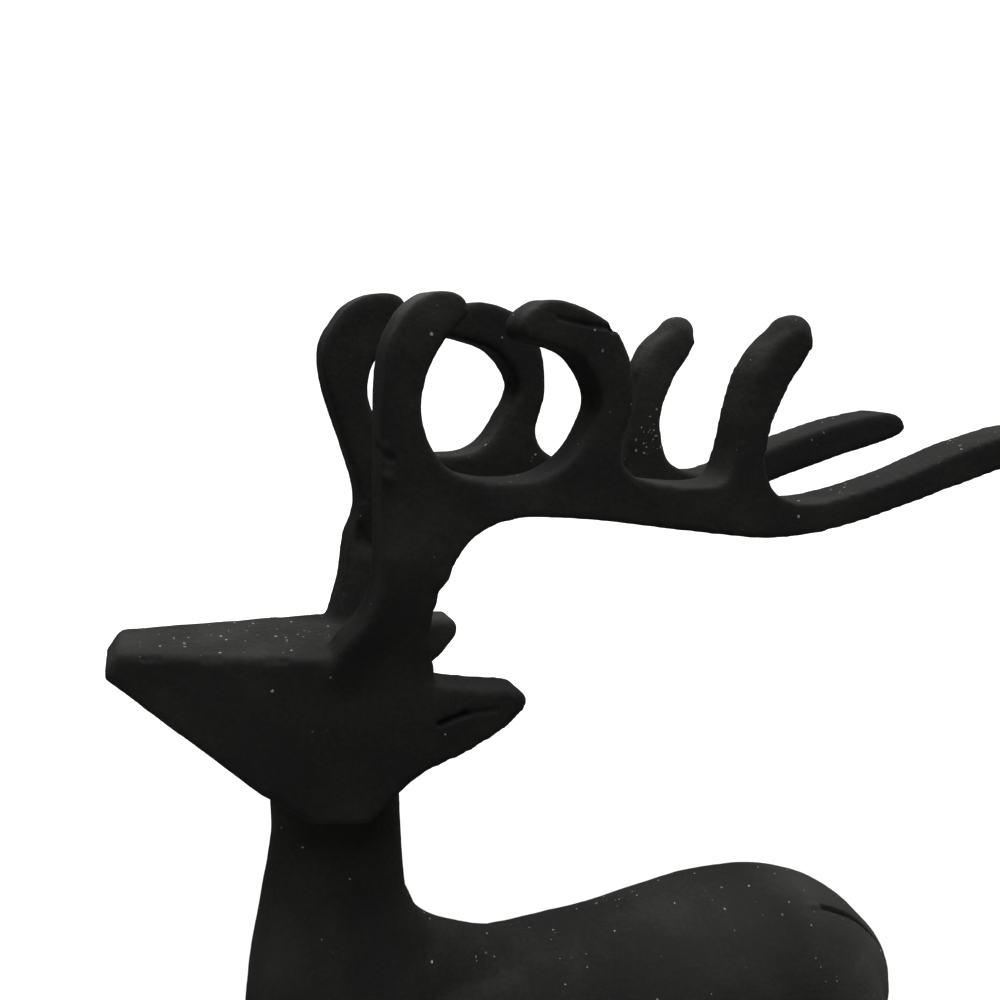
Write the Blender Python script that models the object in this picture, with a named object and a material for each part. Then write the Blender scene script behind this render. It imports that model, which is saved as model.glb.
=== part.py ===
"""A standing stag with swept-back antlers, cast in iron, on a low cast base plate.

Metres, +Z up. The stag faces -X, and its left side is -Y. The origin is the centre of the
base plate's underside. The stag is one casting: its members are lofted as closed shells
that overlap, melted into one skin, softened like a sand casting, and cut flat at the soles.
"""

import math

import bmesh
import bpy
from mathutils import Vector

# The driving sizes of the casting and its plate
FIGURE_HEIGHT = 0.350  # from the soles to the tops of the antlers
BASE_THICKNESS = 0.010
BASE_END_MARGIN = 0.022  # plate beyond the hooves, fore and aft
BASE_SIDE_MARGIN = 0.016  # plate beyond the hooves, left and right
BASE_CORNER_RADIUS = 0.016
BASE_EDGE_ROUND = 0.0015
SEAT_GAP = 0.0003  # between the soles and the plate

# The pose is drawn on a pattern this many millimetres tall, and scaled to the figure
PATTERN_HEIGHT = 351.6
MM = FIGURE_HEIGHT / PATTERN_HEIGHT

# How the shells become one skin
SKIN_GRID = 1.15 * MM
SOFTENING_SHARE = 0.5
SOFTENING_STEPS = 7
SKIN_KEEP = 0.045  # share of the skin's triangles kept
SKIN_ALLOWANCE = 0.4  # pattern millimetres that the softening takes off each side
SOLE_DEPTH = 4.0  # how far the hooves run below the soles before they are cut flat

# The stance, in pattern millimetres from the middle of the plate
HOOF_REACH = 76.0  # fore and aft
HOOF_SPREAD = 18.5  # left and right
HOOF_HALF_LENGTH = 8.0
HOOF_HALF_WIDTH = 6.4

# How finely a member is lofted
RING_SIDES = 36
STEPS_PER_SPAN = 5
CAP_RINGS = 4
SHARP_ANGLE = 40.0

# The proportions of the head and the antlers, in pattern millimetres
HEAD_NOSE = (-125.0, 9.5)  # x, and half the head's width there
HEAD_BACK = (-60.0, 23.0)
HEAD_EDGE_ROUND = 1.0
HEAD_OUTLINE = [
    (-122.7, 276.3),
    (-126.6, 271.2),
    (-97.0, 243.7),
    (-85.2, 234.8),
    (-72.6, 234.2),
    (-64.0, 242.8),
    (-58.0, 247.4),
    (-58.0, 271.5),
]
EAR_THICKNESS = 11.0
ANTLER_THICKNESS = 12.4
ANTLER_ROOT = 266.0  # where the antler leaves the cheek
ANTLER_SPREAD = (294.0, 27.2)  # height, and how far out the outer face is from there up
ANTLER_SUNK = 0.3  # how far its face is inside the cheek at the root
PLATE_BENDS = 6  # cuts across a plate, so that it can lean outwards

# The left antler's outline, from the brow round the tines and back along the underside
LEFT_ANTLER = {
    "brow": [(-82.0, 263.0), (-78.4, 275.0)],
    "trunk, front": [(-73.0, 282.0), (-70.4, 290.0), (-70.0, 303.0)],
    "first tine, front": [(-68.9, 334.0), (-65.4, 344.8), (-59.6, 350.2)],
    "first tine, back": [
        (-53.2, 350.2),
        (-51.1, 346.2),
        (-56.0, 341.0),
        (-59.9, 334.0),
        (-61.2, 326.0),
        (-59.2, 318.8),
    ],
    "loop": [(-54.8, 313.6), (-46.0, 310.9), (-36.4, 310.8)],
    "second tine, root": [(-28.8, 314.0), (-23.6, 320.2)],
    "second tine, front": [
        (-21.1, 328.2),
        (-25.8, 336.4),
        (-33.4, 339.6),
        (-38.4, 340.8),
        (-39.4, 343.8),
        (-37.2, 347.1),
        (-31.4, 349.3),
    ],
    "second tine, back": [(-20.5, 345.3), (-14.9, 338.4), (-13.2, 327.0), (-16.0, 316.4)],
    "valley": [(-12.0, 310.4), (-2.0, 308.0), (9.6, 307.8)],
    "third tine, front": [(13.4, 313.4), (15.9, 324.0), (19.2, 334.4), (23.6, 340.4), (28.6, 343.0)],
    "third tine, back": [(33.2, 340.6), (31.4, 335.8), (26.7, 329.0), (22.6, 320.0), (21.8, 311.0)],
    "beam, top": [(26.6, 303.7), (38.0, 302.1)],
    "beam end, top": [(60.0, 306.5), (82.0, 313.4), (102.0, 317.6), (108.6, 314.6)],
    "beam end, underside": [(105.6, 310.4), (84.0, 305.0), (62.0, 299.3)],
    "beam, underside": [(42.0, 294.8), (24.0, 293.8), (0.0, 297.4)],
    "trunk, back": [
        (-24.0, 301.4),
        (-40.0, 302.6),
        (-50.0, 299.2),
        (-55.6, 291.0),
        (-59.1, 281.0),
        (-60.8, 268.0),
    ],
}
# The right antler was finished by hand, so its outline differs by a few millimetres
RIGHT_ANTLER = {
    "brow": [(-77.6, 263.0), (-73.5, 275.0)],
    "trunk, front": [(-71.0, 282.0), (-69.1, 291.0), (-66.2, 303.0)],
    "first tine, front": [(-74.1, 333.4), (-69.8, 346.0), (-62.4, 351.2)],
    "first tine, back": [
        (-55.2, 350.9),
        (-53.6, 346.4),
        (-57.4, 340.2),
        (-62.2, 334.0),
        (-63.2, 326.4),
        (-60.4, 319.4),
    ],
    "loop": [(-56.6, 314.8), (-48.0, 311.8), (-38.4, 311.6)],
    "second tine, root": [(-32.8, 314.2), (-27.6, 321.0)],
    "second tine, front": [
        (-24.6, 328.8),
        (-30.0, 336.8),
        (-38.0, 340.0),
        (-43.0, 341.4),
        (-43.8, 344.2),
        (-41.0, 347.4),
        (-34.0, 349.7),
    ],
    "second tine, back": [(-24.0, 346.3), (-18.4, 338.4), (-17.1, 327.0), (-19.5, 316.8)],
    "valley": [(-16.4, 311.0), (-7.0, 307.6), (3.0, 308.0)],
    "third tine, front": [(6.8, 313.0), (9.8, 324.0), (12.5, 334.2), (16.3, 340.2), (21.6, 342.8)],
    "third tine, back": [(26.4, 340.6), (24.8, 335.8), (20.0, 329.0), (16.8, 320.0), (17.8, 311.0)],
    "beam, top": [(21.6, 305.9), (32.0, 303.4)],
    "beam end, top": [(50.4, 309.2), (72.4, 315.5), (91.6, 318.5), (98.2, 315.4)],
    "beam end, underside": [(95.6, 311.4), (74.4, 306.0), (52.4, 300.0)],
    "beam, underside": [(38.0, 294.8), (20.0, 293.8), (-4.0, 297.4)],
    "trunk, back": [
        (-24.0, 301.4),
        (-40.0, 302.6),
        (-50.0, 299.2),
        (-55.6, 291.0),
        (-58.8, 281.0),
        (-61.0, 268.0),
    ],
}
# The third tine ends in a dome: the middle of its core, and how far aft the right one is
THIRD_TINE_CORE = [(22.4, 331.5), (26.0, 336.4), (30.4, 342.4)]
RIGHT_CORE_SHIFT = -6.8
CORE_HALF_WIDTH = 3.4
EAR = [
    (-72.0, 241.0),
    (-62.0, 245.2),
    (-51.5, 249.8),
    (-43.5, 254.7),
    (-38.7, 259.8),
    (-39.4, 263.5),
    (-47.0, 264.4),
    (-58.0, 266.0),
    (-72.0, 267.0),
]
RIGHT_EAR_SHIFT = (-2.6, 4.6)


def clear_scene():
    for old in list(bpy.data.objects):
        bpy.data.objects.remove(old)


def head_half_width(x):
    """The head widens evenly from the muzzle to the ears."""
    share = (x - HEAD_NOSE[0]) / (HEAD_BACK[0] - HEAD_NOSE[0])
    return HEAD_NOSE[1] + share * (HEAD_BACK[1] - HEAD_NOSE[1])


def catmull_rom(before, start, end, after, t):
    """The point at share t of the smooth span from start to end."""
    return tuple(
        q + 0.5 * t * (r - p + t * (2 * p - 5 * q + 4 * r - s + t * (3 * q - p - 3 * r + s)))
        for p, q, r, s in zip(before, start, end, after)
    )


def smooth_stations(stations):
    """A smooth curve through the stations, each a tuple of the same length."""
    points = [stations[0], *stations, stations[-1]]
    made = []
    for a, b, c, d in zip(points, points[1:], points[2:], points[3:]):
        made.extend(catmull_rom(a, b, c, d, step / STEPS_PER_SPAN) for step in range(STEPS_PER_SPAN))
    made.append(stations[-1])
    return made


def rounded_ring(squareness):
    """Points of a unit ring: squareness 2 is a circle, and larger values near a square."""
    ring = []
    for side in range(RING_SIDES):
        angle = 2 * math.pi * (side + 0.5) / RING_SIDES
        c, s = math.cos(angle), math.sin(angle)
        ring.append(
            (
                math.copysign(abs(c) ** (2 / squareness), c),
                math.copysign(abs(s) ** (2 / squareness), s),
            )
        )
    return ring


def loft(shell, stations, squareness=2.6, cap=0.8):
    """Adds one closed member to the bmesh. A station is (x, y, z, half width, half depth) in
    pattern millimetres: the width is seen from the side, and the depth is across the body."""
    stations = smooth_stations(stations)
    ring = rounded_ring(squareness)
    centres = [Vector(s[:3]) for s in stations]
    last = len(stations) - 1
    rows = []
    for i, (centre, station) in enumerate(zip(centres, stations)):
        along = (centres[min(i + 1, last)] - centres[max(i - 1, 0)]).normalized()
        side = along.cross(Vector((0, 1, 0))).normalized()
        across = side.cross(along)
        width = station[3] + SKIN_ALLOWANCE
        depth = station[4] + SKIN_ALLOWANCE
        rows.append((centre, along, side, across, width, depth))

    def domed(row, outwards):
        """Rings that round off an end."""
        centre, along, side, across, width, depth = row
        reach = cap * min(width, depth)
        for k in range(1, CAP_RINGS):
            angle = 0.5 * math.pi * k / CAP_RINGS
            shrink = math.cos(angle)
            place = centre + along * outwards * reach * math.sin(angle)
            yield (place, along, side, across, width * shrink, depth * shrink)

    rows = [*reversed(list(domed(rows[0], -1))), *rows, *domed(rows[-1], 1)]
    rings = [
        [
            shell.verts.new((centre + side * u * width + across * v * depth) * MM)
            for u, v in ring
        ]
        for centre, along, side, across, width, depth in rows
    ]
    faces = []
    for lower, upper in zip(rings, rings[1:]):
        for k in range(RING_SIDES):
            after = (k + 1) % RING_SIDES
            faces.append(shell.faces.new((lower[k], lower[after], upper[after], upper[k])))
    faces.append(shell.faces.new(list(reversed(rings[0]))))
    faces.append(shell.faces.new(rings[-1]))
    bmesh.ops.recalc_face_normals(shell, faces=faces)


def bevel_edges(shell, edges, radius, segments):
    """Rounds off edges of the bmesh."""
    bmesh.ops.bevel(shell, geom=edges, offset=radius, segments=segments, profile=0.5, affect="EDGES")


def head(shell):
    """A wedge: flat on top, flat at the cheeks, and sharp towards the muzzle."""
    sides = [
        [shell.verts.new(Vector((x, sign * head_half_width(x), z)) * MM) for x, z in HEAD_OUTLINE]
        for sign in (-1, 1)
    ]
    near, far = sides
    faces = [shell.faces.new(near), shell.faces.new(list(reversed(far)))]
    for k in range(len(HEAD_OUTLINE)):
        after = (k + 1) % len(HEAD_OUTLINE)
        faces.append(shell.faces.new((near[k], far[k], far[after], near[after])))
    bmesh.ops.recalc_face_normals(shell, faces=faces)
    edges = list(dict.fromkeys(edge for face in faces for edge in face.edges))
    bevel_edges(shell, edges, HEAD_EDGE_ROUND * MM, 3)


def plate(shell, side, outline, outer_face, thickness):
    """Adds a flat form to the bmesh: a smooth outline seen from the side, with its outer face
    where outer_face(x, z) says, on the left of the body for side -1 and on the right for 1."""
    closed = [outline[-1], *outline, *outline[:2]]
    curve = []
    for a, b, c, d in zip(closed, closed[1:], closed[2:], closed[3:]):
        curve.extend(catmull_rom(a, b, c, d, step / STEPS_PER_SPAN) for step in range(STEPS_PER_SPAN))

    flat = bmesh.new()
    bottom = flat.faces.new([flat.verts.new((x, 0.0, z)) for x, z in curve])
    wall = bmesh.ops.extrude_face_region(flat, geom=[bottom])
    top = [v for v in wall["geom"] if isinstance(v, bmesh.types.BMVert)]
    bmesh.ops.translate(flat, vec=(0, 1, 0), verts=top)
    heights = [z for x, z in outline]
    low, high = min(heights), max(heights)
    for bend in range(1, PLATE_BENDS):
        height = low + (high - low) * bend / PLATE_BENDS
        everything = [*flat.verts, *flat.edges, *flat.faces]
        bmesh.ops.bisect_plane(flat, geom=everything, plane_co=(0, 0, height), plane_no=(0, 0, 1))
    bmesh.ops.triangulate(flat, faces=flat.faces)

    placed = {}
    for vert in flat.verts:
        x, depth, z = vert.co
        y = side * (outer_face(x, z) - depth * thickness)
        placed[vert] = shell.verts.new(Vector((x, y, z)) * MM)
    faces = [shell.faces.new([placed[v] for v in face.verts]) for face in flat.faces]
    flat.free()
    bmesh.ops.recalc_face_normals(shell, faces=faces)


def antler(shell, side, edges, core_shift):
    """Flush with the cheek at its root, then leaning outwards up to the beam."""

    def outer_face(x, z):
        root = head_half_width(min(x, HEAD_BACK[0])) - ANTLER_SUNK
        share = min(max((z - ANTLER_ROOT) / (ANTLER_SPREAD[0] - ANTLER_ROOT), 0.0), 1.0)
        return root + (ANTLER_SPREAD[1] - root) * share

    outline = [point for points in edges.values() for point in points]
    plate(shell, side, outline, outer_face, ANTLER_THICKNESS)
    middle = side * (ANTLER_SPREAD[1] - ANTLER_THICKNESS / 2)
    depth = ANTLER_THICKNESS / 2 - SKIN_ALLOWANCE
    core = [(x + core_shift, middle, z, CORE_HALF_WIDTH, depth) for x, z in THIRD_TINE_CORE]
    loft(shell, core, squareness=2.4, cap=1.15)


def ear(shell, side, shift):
    """A thick pointed leaf that carries the cheek backwards."""
    outline = [(x + shift[0], z + shift[1]) for x, z in EAR]
    plate(shell, side, outline, lambda x, z: head_half_width(x), EAR_THICKNESS)


def neck_and_body(shell):
    """An upright neck on a level back, a deep chest, and a tucked belly."""
    neck = [
        (-76.0, 0.0, 256.0, 14.0, 11.5),
        (-77.0, 0.0, 238.0, 14.8, 11.5),
        (-76.9, 0.0, 224.0, 15.1, 12.5),
        (-77.9, 0.0, 208.0, 17.0, 14.5),
        (-78.2, 0.0, 192.0, 20.0, 18.0),
        (-77.4, 0.0, 172.0, 22.8, 22.0),
        (-75.0, 0.0, 152.0, 24.4, 24.0),
        (-71.0, 0.0, 132.0, 22.4, 21.5),
        (-67.0, 0.0, 120.0, 15.0, 15.0),
    ]
    torso = [
        (-66.0, 0.0, 148.0, 36.0, 22.0),
        (-54.0, 0.0, 146.5, 39.5, 26.4),
        (-30.0, 0.0, 146.5, 38.6, 28.0),
        (0.0, 0.0, 149.0, 37.1, 27.4),
        (30.0, 0.0, 152.5, 37.2, 26.5),
        (49.0, 0.0, 151.2, 35.2, 25.8),
        (60.4, 0.0, 146.6, 29.8, 23.0),
        (67.3, 0.0, 140.0, 24.6, 18.0),
    ]
    withers = [
        (-70.0, 0.0, 168.0, 44.0, 14.0),
        (-61.0, 0.0, 168.0, 39.0, 14.0),
        (-57.0, 0.0, 168.0, 30.8, 14.0),
        (-52.0, 0.0, 168.0, 26.4, 14.0),
        (-45.0, 0.0, 168.0, 23.0, 14.0),
        (-36.0, 0.0, 168.0, 19.8, 14.0),
        (-22.0, 0.0, 168.0, 17.0, 14.0),
    ]
    loft(shell, neck, squareness=2.3)
    loft(shell, torso, squareness=2.2, cap=0.6)
    loft(shell, withers, squareness=2.2)


def front_leg(shell, side):
    leg = [
        (-74.0, side * 10.0, 152.0, 16.0, 12.0),
        (-74.0, side * 14.5, 128.0, 14.5, 10.5),
        (-73.6, side * 17.0, 108.0, 9.6, 7.8),
        (-74.0, side * 18.2, 90.0, 6.6, 5.8),
        (-74.3, side * HOOF_SPREAD, 72.0, 5.6, 5.2),
        (-73.8, side * HOOF_SPREAD, 62.0, 5.9, 5.6),
        (-72.4, side * HOOF_SPREAD, 50.0, 4.5, 4.4),
        (-72.0, side * HOOF_SPREAD, 24.0, 4.3, 4.2),
        (2.8 - HOOF_REACH, side * HOOF_SPREAD, 13.0, 5.3, 5.0),
        (1.0 - HOOF_REACH, side * HOOF_SPREAD, 6.0, 6.6, 5.8),
        (-HOOF_REACH, side * HOOF_SPREAD, -SOLE_DEPTH, HOOF_HALF_LENGTH, HOOF_HALF_WIDTH),
    ]
    loft(shell, leg, squareness=2.8)


def hind_leg(shell, side):
    leg = [
        (54.0, side * 11.0, 162.0, 18.0, 12.0),
        (56.8, side * 14.5, 142.0, 21.1, 12.5),
        (59.4, side * 17.0, 122.0, 18.2, 11.0),
        (64.6, side * 18.2, 104.0, 12.4, 8.8),
        (73.0, side * HOOF_SPREAD, 87.0, 7.8, 6.6),
        (79.8, side * HOOF_SPREAD, 72.0, 6.6, 5.8),
        (81.4, side * HOOF_SPREAD, 62.0, 5.6, 5.2),
        (81.0, side * HOOF_SPREAD, 48.0, 4.8, 4.6),
        (80.4, side * HOOF_SPREAD, 26.0, 4.4, 4.3),
        (HOOF_REACH + 2.8, side * HOOF_SPREAD, 13.5, 5.3, 5.0),
        (HOOF_REACH + 1.0, side * HOOF_SPREAD, 6.0, 6.6, 5.8),
        (HOOF_REACH, side * HOOF_SPREAD, -SOLE_DEPTH, HOOF_HALF_LENGTH, HOOF_HALF_WIDTH),
    ]
    loft(shell, leg, squareness=2.8)


def tail(shell):
    """A short tail laid down on the rump."""
    stations = [
        (50.0, 0.0, 182.2, 3.2, 7.0),
        (62.0, 0.0, 176.2, 3.6, 9.6),
        (71.2, 0.0, 165.8, 3.2, 9.6),
        (77.0, 0.0, 153.0, 2.6, 6.5),
    ]
    loft(shell, stations, squareness=2.6)


def painted_iron(name, colour, roughness):
    """Matt black paint on cast iron. Paint hides the metal, so it isn't metallic."""
    material = bpy.data.materials.new(name)
    material.use_nodes = True
    shader = material.node_tree.nodes["Principled BSDF"]
    shader.inputs["Base Color"].default_value = (*colour, 1.0)
    shader.inputs["Roughness"].default_value = roughness
    shader.inputs["Metallic"].default_value = 0.0
    return material


def new_object(name, shell):
    """A shaded object in the scene from a finished bmesh."""
    mesh = bpy.data.meshes.new(name)
    shell.to_mesh(mesh)
    shell.free()
    mesh.shade_smooth()
    mesh.set_sharp_from_angle(angle=math.radians(SHARP_ANGLE))
    made = bpy.data.objects.new(name, mesh)
    bpy.context.scene.collection.objects.link(made)
    return made


def block(size, centre):
    """A bmesh box."""
    shell = bmesh.new()
    bmesh.ops.create_cube(shell, size=1.0)
    bmesh.ops.scale(shell, vec=size, verts=shell.verts)
    bmesh.ops.translate(shell, vec=centre, verts=shell.verts)
    return shell


def stag():
    """The whole casting as one skin, standing on its soles just above the plate."""
    shell = bmesh.new()
    head(shell)
    neck_and_body(shell)
    tail(shell)
    antler(shell, -1, LEFT_ANTLER, 0.0)
    antler(shell, 1, RIGHT_ANTLER, RIGHT_CORE_SHIFT)
    ear(shell, -1, (0.0, 0.0))
    ear(shell, 1, RIGHT_EAR_SHIFT)
    for side in (-1, 1):
        front_leg(shell, side)
        hind_leg(shell, side)
    figure = new_object("stag", shell)
    figure.data.materials.append(painted_iron("black_iron", (0.022, 0.022, 0.021), 0.82))
    figure.location.z = BASE_THICKNESS + SEAT_GAP

    melt = figure.modifiers.new("Melt", "REMESH")
    melt.mode = "VOXEL"
    melt.voxel_size = SKIN_GRID
    melt.use_smooth_shade = True
    soften = figure.modifiers.new("Soften", "SMOOTH")
    soften.factor = SOFTENING_SHARE
    soften.iterations = SOFTENING_STEPS
    thin = figure.modifiers.new("Thin", "DECIMATE")
    thin.ratio = SKIN_KEEP

    depth = 5 * SOLE_DEPTH * MM
    ground = new_object("ground", block((2 * FIGURE_HEIGHT, 2 * FIGURE_HEIGHT, depth), (0, 0, -depth / 2)))
    ground.location = figure.location
    ground.hide_render = True
    ground.display_type = "WIRE"
    soles = figure.modifiers.new("Soles", "BOOLEAN")
    soles.operation = "DIFFERENCE"
    soles.solver = "EXACT"
    soles.object = ground


def base_plate():
    """A plain plate with rounded corners and softened edges, centred under the hooves."""
    length = 2 * (HOOF_REACH + HOOF_HALF_LENGTH) * MM + 2 * BASE_END_MARGIN
    width = 2 * (HOOF_SPREAD + HOOF_HALF_WIDTH) * MM + 2 * BASE_SIDE_MARGIN
    shell = block((length, width, BASE_THICKNESS), (0, 0, BASE_THICKNESS / 2))

    def upright(edge):
        return abs(edge.verts[0].co.z - edge.verts[1].co.z) > BASE_THICKNESS / 2

    bevel_edges(shell, [edge for edge in shell.edges if upright(edge)], BASE_CORNER_RADIUS, 8)
    bevel_edges(shell, [edge for edge in shell.edges if not upright(edge)], BASE_EDGE_ROUND, 2)
    plate_object = new_object("base_plate", shell)
    plate_object.data.materials.append(painted_iron("black_iron_plate", (0.024, 0.024, 0.023), 0.85))


clear_scene()
stag()
base_plate()
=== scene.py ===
import math

import bmesh
import bpy
import numpy as np
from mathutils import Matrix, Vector


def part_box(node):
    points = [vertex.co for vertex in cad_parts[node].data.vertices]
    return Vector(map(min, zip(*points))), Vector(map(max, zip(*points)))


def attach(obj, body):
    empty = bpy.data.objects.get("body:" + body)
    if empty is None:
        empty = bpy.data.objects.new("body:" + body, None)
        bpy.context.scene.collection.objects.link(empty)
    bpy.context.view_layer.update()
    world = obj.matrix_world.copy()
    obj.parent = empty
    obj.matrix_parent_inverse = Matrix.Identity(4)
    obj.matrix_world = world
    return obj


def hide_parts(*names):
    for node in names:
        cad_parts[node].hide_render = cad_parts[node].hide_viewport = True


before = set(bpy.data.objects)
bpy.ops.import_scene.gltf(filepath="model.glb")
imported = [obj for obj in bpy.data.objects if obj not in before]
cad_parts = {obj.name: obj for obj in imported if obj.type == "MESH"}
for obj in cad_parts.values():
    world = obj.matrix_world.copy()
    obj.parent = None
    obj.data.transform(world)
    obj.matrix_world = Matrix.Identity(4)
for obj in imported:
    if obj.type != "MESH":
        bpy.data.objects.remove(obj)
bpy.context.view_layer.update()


# The stag: one sand casting in grey iron, standing square with its antlers swept back. Its
# members are lofted as closed shells, melted into one skin, softened as a sand mould leaves
# them, and then marked where the pattern, the file and the mould left their traces.

PATTERN_HEIGHT = 351.6  # the pattern is drawn in millimetres, and scaled to the casting
STAG_LOW, STAG_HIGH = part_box("stag")
MM = (STAG_HIGH.z - STAG_LOW.z) / PATTERN_HEIGHT
SOLES = STAG_LOW.z

SKIN_GRID = 0.8 * MM
SKIN_ALLOWANCE = 0.4  # what the softening takes off each side, in pattern millimetres
SOFTENING_SHARE = 0.5
SOFTENING_STEPS = 9
SOLE_DEPTH = 4.0  # how far the legs reach below the soles before they are cut off level

HOOF_REACH = 76.0
HOOF_SPREAD = 18.5
HOOF_HALF_LENGTH = 8.0
HOOF_HALF_WIDTH = 6.4

RING_SIDES = 48
STEPS_PER_SPAN = 8
CAP_RINGS = 5
PLATE_BENDS = 8

HEAD_NOSE = (-125.0, 9.5)  # x, and half the head's width there
HEAD_BACK = (-60.0, 23.0)
HEAD_EDGE_ROUND = 1.0
HEAD_OUTLINE = [
    (-122.7, 276.3),
    (-126.6, 271.2),
    (-97.0, 243.7),
    (-85.2, 234.8),
    (-72.6, 234.2),
    (-64.0, 242.8),
    (-58.0, 247.4),
    (-58.0, 271.5),
]
EAR_THICKNESS = 11.0
EAR = [
    (-72.0, 241.0),
    (-62.0, 245.2),
    (-51.5, 249.8),
    (-43.5, 254.7),
    (-38.7, 259.8),
    (-39.4, 263.5),
    (-47.0, 264.4),
    (-58.0, 266.0),
    (-72.0, 267.0),
]
RIGHT_EAR_SHIFT = (-2.6, 4.6)
ANTLER_THICKNESS = 12.4
ANTLER_ROOT = 266.0  # where the antler leaves the cheek
ANTLER_SPREAD = (294.0, 27.2)  # height, and how far out the outer face is from there up
ANTLER_SUNK = 0.3
# The left antler's outline, from the brow round the tines and back along the underside
LEFT_ANTLER = {
    "brow": [(-82.0, 263.0), (-78.4, 275.0)],
    "trunk, front": [(-73.0, 282.0), (-70.4, 290.0), (-70.0, 303.0)],
    "first tine, front": [(-68.9, 334.0), (-65.4, 344.8), (-59.6, 350.2)],
    "first tine, back": [
        (-53.2, 350.2),
        (-51.1, 346.2),
        (-56.0, 341.0),
        (-59.9, 334.0),
        (-61.2, 326.0),
        (-59.2, 318.8),
    ],
    "loop": [(-54.8, 313.6), (-46.0, 310.9), (-36.4, 310.8)],
    "second tine, root": [(-28.8, 314.0), (-23.6, 320.2)],
    "second tine, front": [
        (-21.1, 328.2),
        (-25.8, 336.4),
        (-33.4, 339.6),
        (-38.4, 340.8),
        (-39.4, 343.8),
        (-37.2, 347.1),
        (-31.4, 349.3),
    ],
    "second tine, back": [(-20.5, 345.3), (-14.9, 338.4), (-13.2, 327.0), (-16.0, 316.4)],
    "valley": [(-12.0, 310.4), (-2.0, 308.0), (9.6, 307.8)],
    "third tine, front": [(13.4, 313.4), (15.9, 324.0), (19.2, 334.4), (23.6, 340.4), (28.6, 343.0)],
    "third tine, back": [(33.2, 340.6), (31.4, 335.8), (26.7, 329.0), (22.6, 320.0), (21.8, 311.0)],
    "beam, top": [(26.6, 303.7), (38.0, 302.1)],
    "beam end, top": [(60.0, 306.5), (82.0, 313.4), (102.0, 317.6), (108.6, 314.6)],
    "beam end, underside": [(105.6, 310.4), (84.0, 305.0), (62.0, 299.3)],
    "beam, underside": [(42.0, 294.8), (24.0, 293.8), (0.0, 297.4)],
    "trunk, back": [
        (-24.0, 301.4),
        (-40.0, 302.6),
        (-50.0, 299.2),
        (-55.6, 291.0),
        (-59.1, 281.0),
        (-60.8, 268.0),
    ],
}
# The right antler was finished by hand, so its outline differs by a few millimetres
RIGHT_ANTLER = {
    "brow": [(-77.6, 263.0), (-73.5, 275.0)],
    "trunk, front": [(-71.0, 282.0), (-69.1, 291.0), (-66.2, 303.0)],
    "first tine, front": [(-74.1, 333.4), (-69.8, 346.0), (-62.4, 351.2)],
    "first tine, back": [
        (-55.2, 350.9),
        (-53.6, 346.4),
        (-57.4, 340.2),
        (-62.2, 334.0),
        (-63.2, 326.4),
        (-60.4, 319.4),
    ],
    "loop": [(-56.6, 314.8), (-48.0, 311.8), (-38.4, 311.6)],
    "second tine, root": [(-32.8, 314.2), (-27.6, 321.0)],
    "second tine, front": [
        (-24.6, 328.8),
        (-30.0, 336.8),
        (-38.0, 340.0),
        (-43.0, 341.4),
        (-43.8, 344.2),
        (-41.0, 347.4),
        (-34.0, 349.7),
    ],
    "second tine, back": [(-24.0, 346.3), (-18.4, 338.4), (-17.1, 327.0), (-19.5, 316.8)],
    "valley": [(-16.4, 311.0), (-7.0, 307.6), (3.0, 308.0)],
    "third tine, front": [(6.8, 313.0), (9.8, 324.0), (12.5, 334.2), (16.3, 340.2), (21.6, 342.8)],
    "third tine, back": [(26.4, 340.6), (24.8, 335.8), (20.0, 329.0), (16.8, 320.0), (17.8, 311.0)],
    "beam, top": [(21.6, 305.9), (32.0, 303.4)],
    "beam end, top": [(50.4, 309.2), (72.4, 315.5), (91.6, 318.5), (98.2, 315.4)],
    "beam end, underside": [(95.6, 311.4), (74.4, 306.0), (52.4, 300.0)],
    "beam, underside": [(38.0, 294.8), (20.0, 293.8), (-4.0, 297.4)],
    "trunk, back": [
        (-24.0, 301.4),
        (-40.0, 302.6),
        (-50.0, 299.2),
        (-55.6, 291.0),
        (-58.8, 281.0),
        (-61.0, 268.0),
    ],
}
# The third tine ends in a dome: the middle of its core, and how far aft the right one is
THIRD_TINE_CORE = [(22.4, 331.5), (26.0, 336.4), (30.1, 341.7)]
RIGHT_CORE_SHIFT = -6.8
CORE_HALF_WIDTH = 3.9


def head_half_width(x):
    """The head widens evenly from the muzzle to the ears."""
    share = (x - HEAD_NOSE[0]) / (HEAD_BACK[0] - HEAD_NOSE[0])
    return HEAD_NOSE[1] + share * (HEAD_BACK[1] - HEAD_NOSE[1])


def span_point(before, start, end, after, t):
    """The point at share t of the smooth span from start to end."""
    return tuple(
        q + 0.5 * t * (r - p + t * (2 * p - 5 * q + 4 * r - s + t * (3 * q - p - 3 * r + s)))
        for p, q, r, s in zip(before, start, end, after)
    )


def smooth_curve(points):
    """A smooth curve through all the points but the first and the last, which only steer it."""
    made = []
    for a, b, c, d in zip(points, points[1:], points[2:], points[3:]):
        made.extend(span_point(a, b, c, d, step / STEPS_PER_SPAN) for step in range(STEPS_PER_SPAN))
    return made


def rounded_ring(squareness):
    """Points of a unit ring: squareness 2 is a circle, and larger values near a square."""
    ring = []
    for side in range(RING_SIDES):
        angle = 2 * math.pi * (side + 0.5) / RING_SIDES
        c, s = math.cos(angle), math.sin(angle)
        ring.append(
            (
                math.copysign(abs(c) ** (2 / squareness), c),
                math.copysign(abs(s) ** (2 / squareness), s),
            )
        )
    return ring


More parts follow.
